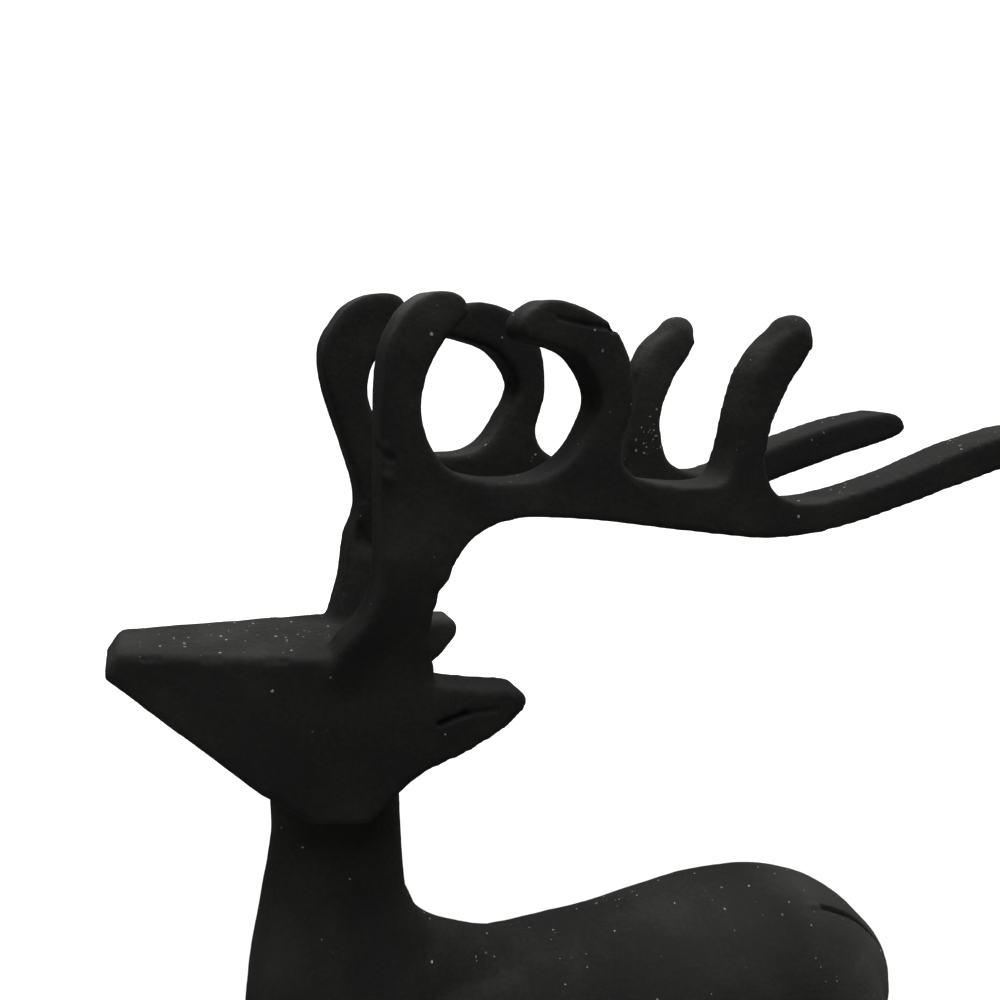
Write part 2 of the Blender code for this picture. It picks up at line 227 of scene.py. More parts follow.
def loft(shell, stations, squareness=2.6, cap=0.8):
    """Adds one closed member to the bmesh. A station is (x, y, z, half width, half depth) in
    pattern millimetres: the width is seen from the side, and the depth is across the body."""
    stations = [*smooth_curve([stations[0], *stations, stations[-1]]), stations[-1]]
    ring = rounded_ring(squareness)
    centres = [Vector(s[:3]) for s in stations]
    last = len(stations) - 1
    rows = []
    for i, (centre, station) in enumerate(zip(centres, stations)):
        along = (centres[min(i + 1, last)] - centres[max(i - 1, 0)]).normalized()
        side = along.cross(Vector((0, 1, 0))).normalized()
        across = side.cross(along)
        width = station[3] + SKIN_ALLOWANCE
        depth = station[4] + SKIN_ALLOWANCE
        rows.append((centre, along, side, across, width, depth))

    def domed(row, outwards):
        """Rings that round off an end."""
        centre, along, side, across, width, depth = row
        reach = cap * min(width, depth)
        for k in range(1, CAP_RINGS):
            angle = 0.5 * math.pi * k / CAP_RINGS
            shrink = math.cos(angle)
            place = centre + along * outwards * reach * math.sin(angle)
            yield (place, along, side, across, width * shrink, depth * shrink)

    rows = [*reversed(list(domed(rows[0], -1))), *rows, *domed(rows[-1], 1)]
    rings = [
        [shell.verts.new(centre + side * u * width + across * v * depth) for u, v in ring]
        for centre, along, side, across, width, depth in rows
    ]
    faces = []
    for lower, upper in zip(rings, rings[1:]):
        for k in range(RING_SIDES):
            after = (k + 1) % RING_SIDES
            faces.append(shell.faces.new((lower[k], lower[after], upper[after], upper[k])))
    faces.append(shell.faces.new(list(reversed(rings[0]))))
    faces.append(shell.faces.new(rings[-1]))
    bmesh.ops.recalc_face_normals(shell, faces=faces)


def bevel_edges(shell, edges, radius, segments):
    """Rounds off edges of the bmesh."""
    bmesh.ops.bevel(
        shell, geom=edges, offset=radius, segments=segments, profile=0.5, affect="EDGES"
    )


def head(shell):
    """A wedge: flat on top, flat at the cheeks, and sharp towards the muzzle."""
    near, far = (
        [shell.verts.new((x, side * head_half_width(x), z)) for x, z in HEAD_OUTLINE]
        for side in (-1, 1)
    )
    faces = [shell.faces.new(near), shell.faces.new(list(reversed(far)))]
    for k in range(len(HEAD_OUTLINE)):
        after = (k + 1) % len(HEAD_OUTLINE)
        faces.append(shell.faces.new((near[k], far[k], far[after], near[after])))
    bmesh.ops.recalc_face_normals(shell, faces=faces)
    edges = list(dict.fromkeys(edge for face in faces for edge in face.edges))
    bevel_edges(shell, edges, HEAD_EDGE_ROUND, segments=3)


def plate(shell, side, outline, outer_face, thickness):
    """Adds a flat form to the bmesh: a smooth outline seen from the side, with its outer face
    where outer_face(x, z) says, on the left of the body for side -1 and on the right for 1."""
    curve = smooth_curve([outline[-1], *outline, *outline[:2]])
    flat = bmesh.new()
    bottom = flat.faces.new([flat.verts.new((x, 0.0, z)) for x, z in curve])
    wall = bmesh.ops.extrude_face_region(flat, geom=[bottom])
    top = [v for v in wall["geom"] if isinstance(v, bmesh.types.BMVert)]
    bmesh.ops.translate(flat, vec=(0, 1, 0), verts=top)
    heights = [z for x, z in outline]
    low, high = min(heights), max(heights)
    for bend in range(1, PLATE_BENDS):
        height = low + (high - low) * bend / PLATE_BENDS
        everything = [*flat.verts, *flat.edges, *flat.faces]
        bmesh.ops.bisect_plane(flat, geom=everything, plane_co=(0, 0, height), plane_no=(0, 0, 1))
    bmesh.ops.triangulate(flat, faces=flat.faces)

    placed = {}
    for vert in flat.verts:
        x, depth, z = vert.co
        placed[vert] = shell.verts.new((x, side * (outer_face(x, z) - depth * thickness), z))
    faces = [shell.faces.new([placed[v] for v in face.verts]) for face in flat.faces]
    flat.free()
    bmesh.ops.recalc_face_normals(shell, faces=faces)


def antler(shell, side, edges, core_shift):
    """Flush with the cheek at its root, then leaning outwards up to the beam."""

    def outer_face(x, z):
        root = head_half_width(min(x, HEAD_BACK[0])) - ANTLER_SUNK
        share = min(max((z - ANTLER_ROOT) / (ANTLER_SPREAD[0] - ANTLER_ROOT), 0.0), 1.0)
        return root + (ANTLER_SPREAD[1] - root) * share

    outline = [point for points in edges.values() for point in points]
    plate(shell, side, outline, outer_face, ANTLER_THICKNESS)
    middle = side * (ANTLER_SPREAD[1] - ANTLER_THICKNESS / 2)
    depth = ANTLER_THICKNESS / 2 - SKIN_ALLOWANCE
    core = [(x + core_shift, middle, z, CORE_HALF_WIDTH, depth) for x, z in THIRD_TINE_CORE]
    loft(shell, core, squareness=2.4, cap=1.15)


def ear(shell, side, shift):
    """A thick pointed leaf that carries the cheek backwards."""
    outline = [(x + shift[0], z + shift[1]) for x, z in EAR]
    plate(shell, side, outline, lambda x, z: head_half_width(x), EAR_THICKNESS)


def neck_and_body(shell):
    """An upright neck on a level back, a deep chest, and a tucked belly."""
    neck = [
        (-76.0, 0.0, 256.0, 14.0, 11.5),
        (-77.0, 0.0, 238.0, 14.8, 11.5),
        (-76.9, 0.0, 224.0, 15.1, 12.5),
        (-77.9, 0.0, 208.0, 17.0, 14.5),
        (-78.2, 0.0, 192.0, 20.0, 18.0),
        (-77.4, 0.0, 172.0, 22.8, 22.0),
        (-75.0, 0.0, 152.0, 24.4, 24.0),
        (-71.0, 0.0, 132.0, 22.4, 21.5),
        (-67.0, 0.0, 120.0, 15.0, 15.0),
    ]
    torso = [
        (-66.0, 0.0, 148.0, 36.0, 22.0),
        (-54.0, 0.0, 146.5, 39.5, 26.4),
        (-30.0, 0.0, 146.5, 38.6, 28.0),
        (0.0, 0.0, 149.0, 37.1, 27.4),
        (30.0, 0.0, 152.5, 37.2, 26.5),
        (49.0, 0.0, 151.2, 35.2, 25.8),
        (60.4, 0.0, 146.6, 29.8, 23.0),
        (67.3, 0.0, 140.0, 24.6, 18.0),
    ]
    withers = [
        (-70.0, 0.0, 168.0, 44.0, 14.0),
        (-61.0, 0.0, 168.0, 39.0, 14.0),
        (-57.0, 0.0, 168.0, 30.8, 14.0),
        (-52.0, 0.0, 168.0, 26.4, 14.0),
        (-45.0, 0.0, 168.0, 23.0, 14.0),
        (-36.0, 0.0, 168.0, 19.8, 14.0),
        (-22.0, 0.0, 168.0, 17.0, 14.0),
    ]
    loft(shell, neck, squareness=2.3)
    loft(shell, torso, squareness=2.2, cap=0.6)
    loft(shell, withers, squareness=2.2)


def front_leg(shell, side):
    """Straight from the shoulder to the knee and the hoof."""
    leg = [
        (-74.0, side * 10.0, 152.0, 16.0, 12.0),
        (-74.0, side * 14.5, 128.0, 14.5, 10.5),
        (-73.6, side * 17.0, 108.0, 9.6, 7.8),
        (-74.0, side * 18.2, 90.0, 6.6, 5.8),
        (-74.3, side * HOOF_SPREAD, 72.0, 5.6, 5.2),
        (-73.8, side * HOOF_SPREAD, 62.0, 5.9, 5.6),
        (-72.4, side * HOOF_SPREAD, 50.0, 4.5, 4.4),
        (-72.0, side * HOOF_SPREAD, 24.0, 4.3, 4.2),
        (2.8 - HOOF_REACH, side * HOOF_SPREAD, 13.0, 5.3, 5.0),
        (1.0 - HOOF_REACH, side * HOOF_SPREAD, 6.0, 6.6, 5.8),
        (-HOOF_REACH, side * HOOF_SPREAD, -SOLE_DEPTH, HOOF_HALF_LENGTH, HOOF_HALF_WIDTH),
    ]
    loft(shell, leg, squareness=2.8)


def hind_leg(shell, side):
    """A broad thigh, a bent hock, and a slim shank down to the hoof."""
    leg = [
        (54.0, side * 11.0, 162.0, 18.0, 12.0),
        (56.8, side * 14.5, 142.0, 21.1, 12.5),
        (59.4, side * 17.0, 122.0, 18.2, 11.0),
        (64.6, side * 18.2, 104.0, 12.4, 8.8),
        (73.0, side * HOOF_SPREAD, 87.0, 7.8, 6.6),
        (79.8, side * HOOF_SPREAD, 72.0, 6.6, 5.8),
        (81.4, side * HOOF_SPREAD, 62.0, 5.6, 5.2),
        (81.0, side * HOOF_SPREAD, 48.0, 4.8, 4.6),
        (80.4, side * HOOF_SPREAD, 26.0, 4.4, 4.3),
        (HOOF_REACH + 2.8, side * HOOF_SPREAD, 13.5, 5.3, 5.0),
        (HOOF_REACH + 1.0, side * HOOF_SPREAD, 6.0, 6.6, 5.8),
        (HOOF_REACH, side * HOOF_SPREAD, -SOLE_DEPTH, HOOF_HALF_LENGTH, HOOF_HALF_WIDTH),
    ]
    loft(shell, leg, squareness=2.8)


def tail(shell):
    """A short tail laid down on the rump."""
    stations = [
        (50.0, 0.0, 182.2, 3.2, 7.0),
        (62.0, 0.0, 176.2, 3.6, 9.6),
        (71.2, 0.0, 165.8, 3.2, 9.6),
        (77.0, 0.0, 153.0, 2.6, 6.5),
    ]
    loft(shell, stations, squareness=2.6)


def new_object(name, shell):
    """An object at the origin from a finished bmesh."""
    mesh = bpy.data.meshes.new(name)
    shell.to_mesh(mesh)
    shell.free()
    made = bpy.data.objects.new(name, mesh)
    bpy.context.scene.collection.objects.link(made)
    return made


def baked(piece):
    """Turns a piece with live modifiers into a plain mesh."""
    bpy.context.view_layer.update()
    evaluated = piece.evaluated_get(bpy.context.evaluated_depsgraph_get())
    finished = bpy.data.meshes.new_from_object(evaluated)
    piece.modifiers.clear()
    rough, piece.data = piece.data, finished
    finished.name = piece.name
    bpy.data.meshes.remove(rough)


def thin_out(piece, triangles):
    """Merges triangles where the skin bends least, until so many are left."""
    merging = piece.modifiers.new("Thin out", "DECIMATE")
    merging.ratio = triangles / len(piece.data.polygons)
    merging.use_collapse_triangulate = True
    baked(piece)


def vertex_places(piece):
    """The places of a piece's vertices, one in each row."""
    places = np.empty(len(piece.data.vertices) * 3)
    piece.data.vertices.foreach_get("co", places)
    return places.reshape(-1, 3)


def blend(piece, centres, radius, steps):
    """Softens the skin further round a few places, so that the forms there run together."""
    places = vertex_places(piece)
    near = np.zeros(len(places), dtype=bool)
    for centre in centres:
        near |= ((places - centre) ** 2).sum(1) < radius**2
    group = piece.vertex_groups.new(name="blended")
    group.add(np.flatnonzero(near).tolist(), 1.0, "REPLACE")
    soften = piece.modifiers.new("Blend", "SMOOTH")
    soften.vertex_group = group.name
    soften.factor = SOFTENING_SHARE
    soften.iterations = steps
    baked(piece)
    piece.vertex_groups.clear()


def melt(piece, grid, steps):
    """Melts overlapping shells into one skin and softens it."""
    skin = piece.modifiers.new("Melt", "REMESH")
    skin.mode = "VOXEL"
    skin.voxel_size = grid
    soften = piece.modifiers.new("Soften", "SMOOTH")
    soften.factor = SOFTENING_SHARE
    soften.iterations = steps
    baked(piece)


shell = bmesh.new()
head(shell)
neck_and_body(shell)
tail(shell)
antler(shell, -1, LEFT_ANTLER, 0.0)
antler(shell, 1, RIGHT_ANTLER, RIGHT_CORE_SHIFT)
ear(shell, -1, (0.0, 0.0))
ear(shell, 1, RIGHT_EAR_SHIFT)
for side in (-1, 1):
    front_leg(shell, side)
    hind_leg(shell, side)
bmesh.ops.scale(shell, vec=(MM, MM, MM), verts=shell.verts)
bmesh.ops.translate(shell, vec=(0, 0, SOLES), verts=shell.verts)
stag = new_object("stag_casting", shell)
melt(stag, SKIN_GRID, SOFTENING_STEPS)

TIP_REACH = 9.0  # how far round the tip of each third tine the skin is softened further
TIP_BLENDING = 14
tine_across = ANTLER_SPREAD[1] - ANTLER_THICKNESS / 2
tine_x, tine_z = THIRD_TINE_CORE[1]
tips = [(tine_x, -tine_across, tine_z), (tine_x + RIGHT_CORE_SHIFT, tine_across, tine_z)]
tips = [np.array(tip) * MM + np.array((0, 0, SOLES)) for tip in tips]
blend(stag, tips, TIP_REACH * MM, TIP_BLENDING)


# The marks on the stag's skin, left by the pattern, the file and the mould: a groove in each
# ear, the creases beside the tail, the split of each hoof, and nicks and lumps on the antlers
# and the head's edge. Each lies along a bent line on the skin, and stands out if its depth is < 0.

MARKS = {  # start, middle, end, half width, depth
    "left ear, root": ((-57.3, -23.5, 257.2), (-54.6, -24.2, 258.5), (-51.6, -24.8, 259.2), 1.2, 1.5),
    "left ear, tip": ((-52.0, -24.7, 259.2), (-48.6, -25.4, 259.6), (-45.0, -26.0, 259.8), 1.1, 0.35),
    "right ear": ((-60.0, 23.0, 261.6), (-56.6, 23.7, 263.2), (-53.0, 24.4, 263.8), 1.2, 1.3),
    "tail, left edge": ((57.0, -11.7, 182.5), (67.9, -11.2, 178.1), (75.8, -10.3, 169.5), 1.15, 1.7),
    "tail, left side": ((75.8, -10.3, 169.5), (81.0, -9.6, 162.0), (82.4, -7.6, 153.0), 0.8, 1.1),
    "tail, right edge": ((57.0, 11.7, 182.5), (67.9, 11.2, 178.1), (75.8, 10.3, 169.5), 1.15, 1.5),
    "tail, right side": ((75.8, 10.3, 169.5), (81.0, 9.6, 162.0), (82.4, 7.6, 153.0), 0.8, 0.9),
    "tail, left corner": ((53.0, -11.8, 183.8), (54.4, -11.8, 183.4), (55.6, -11.8, 183.0), 1.4, -0.5),
    "second tine, step": ((-18.6, -27.0, 343.2), (-17.8, -21.0, 343.8), (-17.6, -15.0, 344.0), 1.6, 0.9),
    "second tine, seam": ((-31.4, -27.2, 345.4), (-26.0, -27.2, 343.8), (-18.6, -26.8, 343.2), 0.9, 0.4),
    "first tine, nick": ((-69.8, -21.5, 319.0), (-69.4, -26.8, 318.0), (-68.0, -27.2, 317.0), 1.5, 0.5),
    "first tine, lump": ((-69.6, -25.0, 314.2), (-69.4, -26.6, 313.6), (-68.6, -27.0, 312.8), 2.2, -0.5),
    "right trunk, dimple": ((-66.0, 14.4, 291.4), (-63.6, 14.0, 290.0), (-60.6, 13.6, 289.0), 4.5, 0.8),
    "right trunk, lump": ((-67.2, 14.8, 299.8), (-67.4, 14.8, 298.4), (-67.6, 14.8, 297.0), 2.6, -0.5),
    "left trunk, lump": ((-57.2, -26.0, 291.4), (-57.4, -22.0, 291.2), (-57.6, -18.0, 291.2), 2.6, -0.35),
    "left trunk, nick": ((-58.4, -26.4, 287.6), (-58.6, -22.0, 287.4), (-58.8, -18.0, 287.4), 2.0, 0.4),
    "head edge, front": ((-118.0, -10.8, 275.0), (-116.6, -11.2, 275.2), (-115.0, -11.6, 275.0), 1.3, 0.4),
    "head edge, middle": ((-106.0, -13.2, 274.4), (-104.4, -13.6, 274.6), (-103.0, -13.8, 274.4), 1.5, 0.4),
    "head edge, back": ((-93.0, -16.0, 273.4), (-91.0, -16.4, 273.6), (-89.4, -16.8, 273.4), 1.4, 0.4),
}
HOOF_SPLIT = [(-0.4, 0.0), (1.4, 5.0), (4.4, 10.0)]  # how far aft of the toe, and height
HOOF_SPLIT_HALF_WIDTH = 1.3
HOOF_SPLIT_DEPTH = 1.1
for end in (-1, 1):
    for side in (-1, 1):
        toe = end * HOOF_REACH - HOOF_HALF_LENGTH
        split = [(toe + aft, side * HOOF_SPREAD, height) for aft, height in HOOF_SPLIT]
        MARKS["hoof %d %d" % (end, side)] = (*split, HOOF_SPLIT_HALF_WIDTH, HOOF_SPLIT_DEPTH)
MARK_REACH = 2.2  # how far round a mark the skin is cut finer, in half widths
NARROW_MARK = 1.2  # the half width below which the skin is cut finer twice


def on_casting(point):
    """A place on the pattern, in millimetres, as a place in the scene."""
    return Vector(point) * MM + Vector((0, 0, SOLES))


def bent_line(start, middle, end, count=12):
    """Points along a quadratic curve."""
    share = np.linspace(0, 1, count)[:, None]
    return (1 - share) ** 2 * start + 2 * share * (1 - share) * middle + share**2 * end


def cut_finer(piece, marks):
    """Splits the faces round the marks, so that a narrow one keeps its shape."""
    skin = bmesh.new()
    skin.from_mesh(piece.data)
    middles = np.array([face.calc_center_median() for face in skin.faces])
    close = np.zeros(len(middles), dtype=bool)
    for *ends, half_width, _ in marks:
        reach = half_width * MM * MARK_REACH
        for point in bent_line(*(np.array(on_casting(end)) for end in ends)):
            close |= ((middles - point) ** 2).sum(1) < reach**2
    skin.faces.ensure_lookup_table()
    chosen = [skin.faces[k] for k in np.flatnonzero(close)]
    edges = list(dict.fromkeys(edge for face in chosen for edge in face.edges))
    bmesh.ops.subdivide_edges(skin, edges=edges, cuts=1, use_grid_fill=True)
    bmesh.ops.triangulate(skin, faces=[face for face in skin.faces if len(face.verts) > 4])
    skin.to_mesh(piece.data)
    skin.free()


def add_node(tree, kind, inputs=(), **settings):
    """A node with its settings. An input, by name or number, is a value or another's output."""
    made = tree.nodes.new(kind)
    for name, value in settings.items():
        setattr(made, name, value)
    for name, value in dict(inputs).items():
        if isinstance(value, bpy.types.NodeSocket):
            tree.links.new(value, made.inputs[name])
        else:
            made.inputs[name].default_value = value
    return made


def new_tree(name, kind, inputs, outputs):
    """A node group with its sockets, and its input and output nodes."""
    tree = bpy.data.node_groups.new(name, kind)
    for in_out, sockets in (("INPUT", inputs), ("OUTPUT", outputs)):
        for label, socket_type in sockets.items():
            tree.interface.new_socket(label, in_out=in_out, socket_type=socket_type)
    return tree, tree.nodes.new("NodeGroupInput").outputs, tree.nodes.new("NodeGroupOutput").inputs


def number(tree, operation, *values):
    """What a sum on numbers comes to."""
    made = add_node(tree, "ShaderNodeMath", dict(enumerate(values)), operation=operation)
    return made.outputs["Value"]


def vector(tree, operation, inputs):
    """What a sum on vectors comes to."""
    return add_node(tree, "ShaderNodeVectorMath", inputs, operation=operation).outputs["Vector"]


def map_range(tree, value, span, result, **settings):
    """Where a value runs through a span, this runs from one result to the other."""
    inputs = {"Value": value, "From Min": span[0], "From Max": span[1]}
    inputs.update({"To Min": result[0], "To Max": result[1]})
    return add_node(tree, "ShaderNodeMapRange", inputs, **settings).outputs["Result"]


def push_out(tree, skin, distance):
    """Moves the skin outwards by a distance that changes over it."""
    normal = add_node(tree, "GeometryNodeInputNormal").outputs["Normal"]
    push = vector(tree, "SCALE", {0: normal, "Scale": distance})
    moved = add_node(tree, "GeometryNodeSetPosition", {"Geometry": skin, "Offset": push})
    return moved.outputs["Geometry"]


def finish_skin(tree, skin, paint, result):
    """Ends a tree: the skin is one mesh, and it is painted."""
    whole = add_node(tree, "GeometryNodeRealizeInstances", {"Geometry": skin}).outputs["Geometry"]
    painted = add_node(tree, "GeometryNodeSetMaterial", {"Geometry": whole, "Material": paint})
    tree.links.new(painted.outputs["Geometry"], result["Geometry"])


def mark_tree():
    """Pushes the skin in along a bent line laid on it, fading to its half width."""
    tree, given, result = new_tree(
        "mark",
        "GeometryNodeTree",
        {
            "Geometry": "NodeSocketGeometry",
            "Start": "NodeSocketVector",
            "Middle": "NodeSocketVector",
            "End": "NodeSocketVector",
            "Half Width": "NodeSocketFloat",
            "Depth": "NodeSocketFloat",
        },
        {"Geometry": "NodeSocketGeometry"},
    )
    skin = given["Geometry"]
    points = {name: given[name] for name in ("Start", "Middle", "End")}
    line = add_node(tree, "GeometryNodeCurveQuadraticBezier", points).outputs["Curve"]
    edges = add_node(tree, "GeometryNodeCurveToMesh", {"Curve": line}).outputs["Mesh"]
    on_skin = add_node(tree, "GeometryNodeProximity", {"Geometry": skin}, target_element="FACES")
    place = {"Geometry": edges, "Position": on_skin.outputs["Position"]}
    laid = add_node(tree, "GeometryNodeSetPosition", place).outputs["Geometry"]
    near = add_node(tree, "GeometryNodeProximity", {"Geometry": laid}, target_element="EDGES")
    depth = map_range(
        tree,
        near.outputs["Distance"],
        (0.0, given["Half Width"]),
        (given["Depth"], 0.0),
        interpolation_type="SMOOTHSTEP",
    )
    tree.links.new(push_out(tree, skin, number(tree, "MULTIPLY", depth, -1.0)), result["Geometry"])
    return tree


def marks_tree(marks, paint):
    """All the marks, one after the other."""
    mark = mark_tree()
    geometry = {"Geometry": "NodeSocketGeometry"}
    tree, given, result = new_tree("marks", "GeometryNodeTree", geometry, geometry)
    skin = given["Geometry"]
    for start, middle, end, half_width, depth in marks:
        made = add_node(tree, "GeometryNodeGroup", node_tree=mark)
        tree.links.new(skin, made.inputs["Geometry"])
        for name, point in (("Start", start), ("Middle", middle), ("End", end)):
            made.inputs[name].default_value = on_casting(point)
        made.inputs["Half Width"].default_value = half_width * MM
        made.inputs["Depth"].default_value = depth * MM
        skin = made.outputs["Geometry"]
    finish_skin(tree, skin, paint, result)
    return tree


def unevenness_tree():
    """The skin that a sand mould leaves: broad, shallow waves under small, shallower ones."""
    tree, given, result = new_tree(
        "unevenness",
        "GeometryNodeTree",
        {
            "Geometry": "NodeSocketGeometry",
            "Wave Length": "NodeSocketFloat",
            "Wave Depth": "NodeSocketFloat",
            "Grain Length": "NodeSocketFloat",
            "Grain Depth": "NodeSocketFloat",
            "Paint": "NodeSocketMaterial",
        },
        {"Geometry": "NodeSocketGeometry"},
    )
    offsets = []
    for layer in ("Wave", "Grain"):
        scale = number(tree, "DIVIDE", 1.0, given[layer + " Length"])
        hills = add_node(tree, "ShaderNodeTexNoise", {"Scale": scale, "Detail": 2.0}).outputs[0]
        centred = number(tree, "SUBTRACT", hills, 0.5)
        offsets.append(number(tree, "MULTIPLY", centred, given[layer + " Depth"]))
    pushed = push_out(tree, given["Geometry"], number(tree, "ADD", *offsets))
    finish_skin(tree, pushed, given["Paint"], result)
    return tree


def make_uneven(piece, tree, values):
    """Puts the unevenness on a piece, with its inputs set by name."""
    modifier = piece.modifiers.new("Unevenness", "NODES")
    modifier.node_group = tree
    for item in tree.interface.items_tree:
        if item.name in values:
            modifier[item.identifier] = values[item.name]


def cut_level(piece, height):
    """Cuts the piece off below a height, and closes the cut."""
    skin = bmesh.new()
    skin.from_mesh(piece.data)
    everything = [*skin.verts, *skin.edges, *skin.faces]
    cut = bmesh.ops.bisect_plane(
        skin, geom=everything, plane_co=(0, 0, height), plane_no=(0, 0, 1), clear_inner=True
    )
    rims = [edge for edge in cut["geom_cut"] if isinstance(edge, bmesh.types.BMEdge)]
    bmesh.ops.holes_fill(skin, edges=rims, sides=0)
    bmesh.ops.triangulate(skin, faces=skin.faces)
    bmesh.ops.recalc_face_normals(skin, faces=skin.faces)
    skin.to_mesh(piece.data)
    skin.free()


def keep_inside(piece, low, high):
    """Takes off the grains that stand out of the piece's box."""
    places = np.clip(vertex_places(piece), low, high)
    piece.data.vertices.foreach_set("co", places.ravel())
    piece.data.update()


# The paint on the casting: matt black, sprayed thin over the sand grain. It is greyer and
# browner in patches. Pale specks of dust and grit sit in the grain, mostly on top and in a few
# drifts. In places painted light lightens the skin towards the dust colour, standing in for light that
# falls there.

PAINT_BLACK = (0.0172, 0.0172, 0.0168, 1.0)
PAINT_RUBBED = (0.0262, 0.0256, 0.0228, 1.0)
PAINT_SPECULAR = 0.18
# The pale colour of the dust specks, and also the colour that painted light lightens the paint towards
DUST_AND_PAINTED_LIGHT = (0.60, 0.59, 0.57, 1.0)

PATCHES_SHOW = (0.38, 0.66)  # the stretch of the patches' noise in which they come up
PATCHES_RUB = (0.0, 0.8)  # how far the paint is rubbed, beside a patch and in it
GRAIN_SHOWS = (0.35, 0.70)
GRAIN_RUBS = (-0.25, 0.35)  # how much more it is rubbed, in the grain's pits and on its tops
PAINT_ROUGHNESS = (0.90, 0.72)  # as sprayed, and where it is rubbed
SPECK_RADIUS = (0.12, 0.34)  # the smallest and the largest, in shares of their spacing
SPECK_COVER = (0.1, 0.9)
SPECK_RAGGEDNESS = 0.4  # how long the ragged forms of its edge are, in shares of the spacing
SPECK_STRAYING = 0.5  # how far they carry the edge, in shares of the spacing
SPECK_RISE = 0.35  # how high a speck stands on the grain
MIX_SHARE, MIX_UNDER, MIX_OVER, MIX_RESULT = 0, 6, 7, 2  # sockets of a node that mixes colours


def noise(tree, place, length, **values):
    """A cloudy pattern with forms of about a length."""
    scale = number(tree, "DIVIDE", 1.0, length)
    return add_node(tree, "ShaderNodeTexNoise", {"Vector": place, "Scale": scale, **values})


def mixed(tree, share, under, over):
    """A colour laid over another by a share."""
    inputs = {MIX_SHARE: share, MIX_UNDER: under, MIX_OVER: over}
    return add_node(tree, "ShaderNodeMix", inputs, data_type="RGBA").outputs[MIX_RESULT]


def paint_group():
    """Colour, roughness and height of the painted sand skin."""
    tree, given, result = new_tree(
        "sand_cast_paint",
        "ShaderNodeTree",
        {
            "Paint": "NodeSocketColor",
            "Rubbed Paint": "NodeSocketColor",
            "Dust And Painted Light": "NodeSocketColor",
            "Patch Length": "NodeSocketFloat",
            "Grain Length": "NodeSocketFloat",
            "Speck Spacing": "NodeSocketFloat",
            "Dusting": "NodeSocketFloat",
            "Painted Light": "NodeSocketFloat",
        },
        {"Colour": "NodeSocketColor", "Roughness": "NodeSocketFloat", "Height": "NodeSocketFloat"},
    )
    place = add_node(tree, "ShaderNodeTexCoord").outputs["Object"]
    patches = noise(tree, place, given["Patch Length"], Detail=4.0).outputs[0]
    grain = noise(tree, place, given["Grain Length"], Detail=5.0, Roughness=0.62).outputs[0]
    worn = map_range(tree, patches, PATCHES_SHOW, PATCHES_RUB, interpolation_type="SMOOTHSTEP")
    rubbed = number(tree, "ADD", worn, map_range(tree, grain, GRAIN_SHOWS, GRAIN_RUBS))
    rubbed_share = add_node(tree, "ShaderNodeClamp", {"Value": rubbed}).outputs["Result"]
    painted = mixed(tree, rubbed_share, given["Paint"], given["Rubbed Paint"])
    # Painted light: the paint is lightened towards the dust colour by the painted light share
    with_painted_light = mixed(tree, given["Painted Light"], painted, given["Dust And Painted Light"])

    spacing = given["Speck Spacing"]
    edge_length = number(tree, "MULTIPLY", spacing, SPECK_RAGGEDNESS)
    ragged = noise(tree, place, edge_length, Detail=1.0).outputs["Color"]
    astray = vector(tree, "SUBTRACT", {0: ragged, 1: (0.5, 0.5, 0.5)})
    reach = number(tree, "MULTIPLY", spacing, SPECK_STRAYING)
    scattered = vector(tree, "ADD", {0: place, 1: vector(tree, "SCALE", {0: astray, "Scale": reach})})
    per_metre = number(tree, "DIVIDE", 1.0, spacing)
    cells = add_node(
        tree, "ShaderNodeTexVoronoi", {"Vector": scattered, "Scale": per_metre}, feature="F1"
    )
    chances = add_node(tree, "ShaderNodeSeparateColor", {0: cells.outputs["Color"]}).outputs
    settled = number(tree, "LESS_THAN", chances[0], given["Dusting"])
    radius = map_range(tree, chances[1], (0.0, 1.0), SPECK_RADIUS)
    inside = number(tree, "LESS_THAN", cells.outputs["Distance"], radius)
    speck = number(tree, "MULTIPLY", settled, inside)
    cover = number(tree, "MULTIPLY", speck, map_range(tree, chances[2], (0.0, 1.0), SPECK_COVER))

    tree.links.new(mixed(tree, cover, with_painted_light, given["Dust And Painted Light"]), result["Colour"])
    tree.links.new(map_range(tree, rubbed, (0.0, 1.0), PAINT_ROUGHNESS), result["Roughness"])
    tree.links.new(number(tree, "MULTIPLY_ADD", speck, SPECK_RISE, grain), result["Height"])
    return tree


def painted_iron(name, group, values, relief):
    """Matt paint on cast iron: the paint hides the metal. The relief is the grain's height."""
    material = bpy.data.materials.new(name)
    material.use_nodes = True
    tree = material.node_tree
    shader = tree.nodes["Principled BSDF"]
    shader.inputs["Metallic"].default_value = 0.0
    shader.inputs["Specular IOR Level"].default_value = PAINT_SPECULAR
    skin = add_node(tree, "ShaderNodeGroup", node_tree=group)
    for label, value in values.items():
        skin.inputs[label].default_value = value
    # The dusting attribute places the dust specks; the painted light attribute places painted light
    for label, attribute in (("Dusting", "dusting"), ("Painted Light", "painted_light")):
        stored = add_node(tree, "ShaderNodeAttribute", attribute_name=attribute)
        tree.links.new(stored.outputs["Fac"], skin.inputs[label])
    bump = add_node(
        tree, "ShaderNodeBump", {"Height": skin.outputs["Height"], "Distance": relief, "Strength": 1.0}
    )
    tree.links.new(skin.outputs["Colour"], shader.inputs["Base Color"])
    tree.links.new(skin.outputs["Roughness"], shader.inputs["Roughness"])
    tree.links.new(bump.outputs["Normal"], shader.inputs["Normal"])
    return material


PATCH_FADE = 1.4  # a patch is whole near its middle, and fades out at its radius
UPWARD_GAIN = 1.6  # dust from above lies on skin that rises by 0.19 or more, and wholly on
UPWARD_LOSS = 0.3  # skin that rises by 0.81 or more


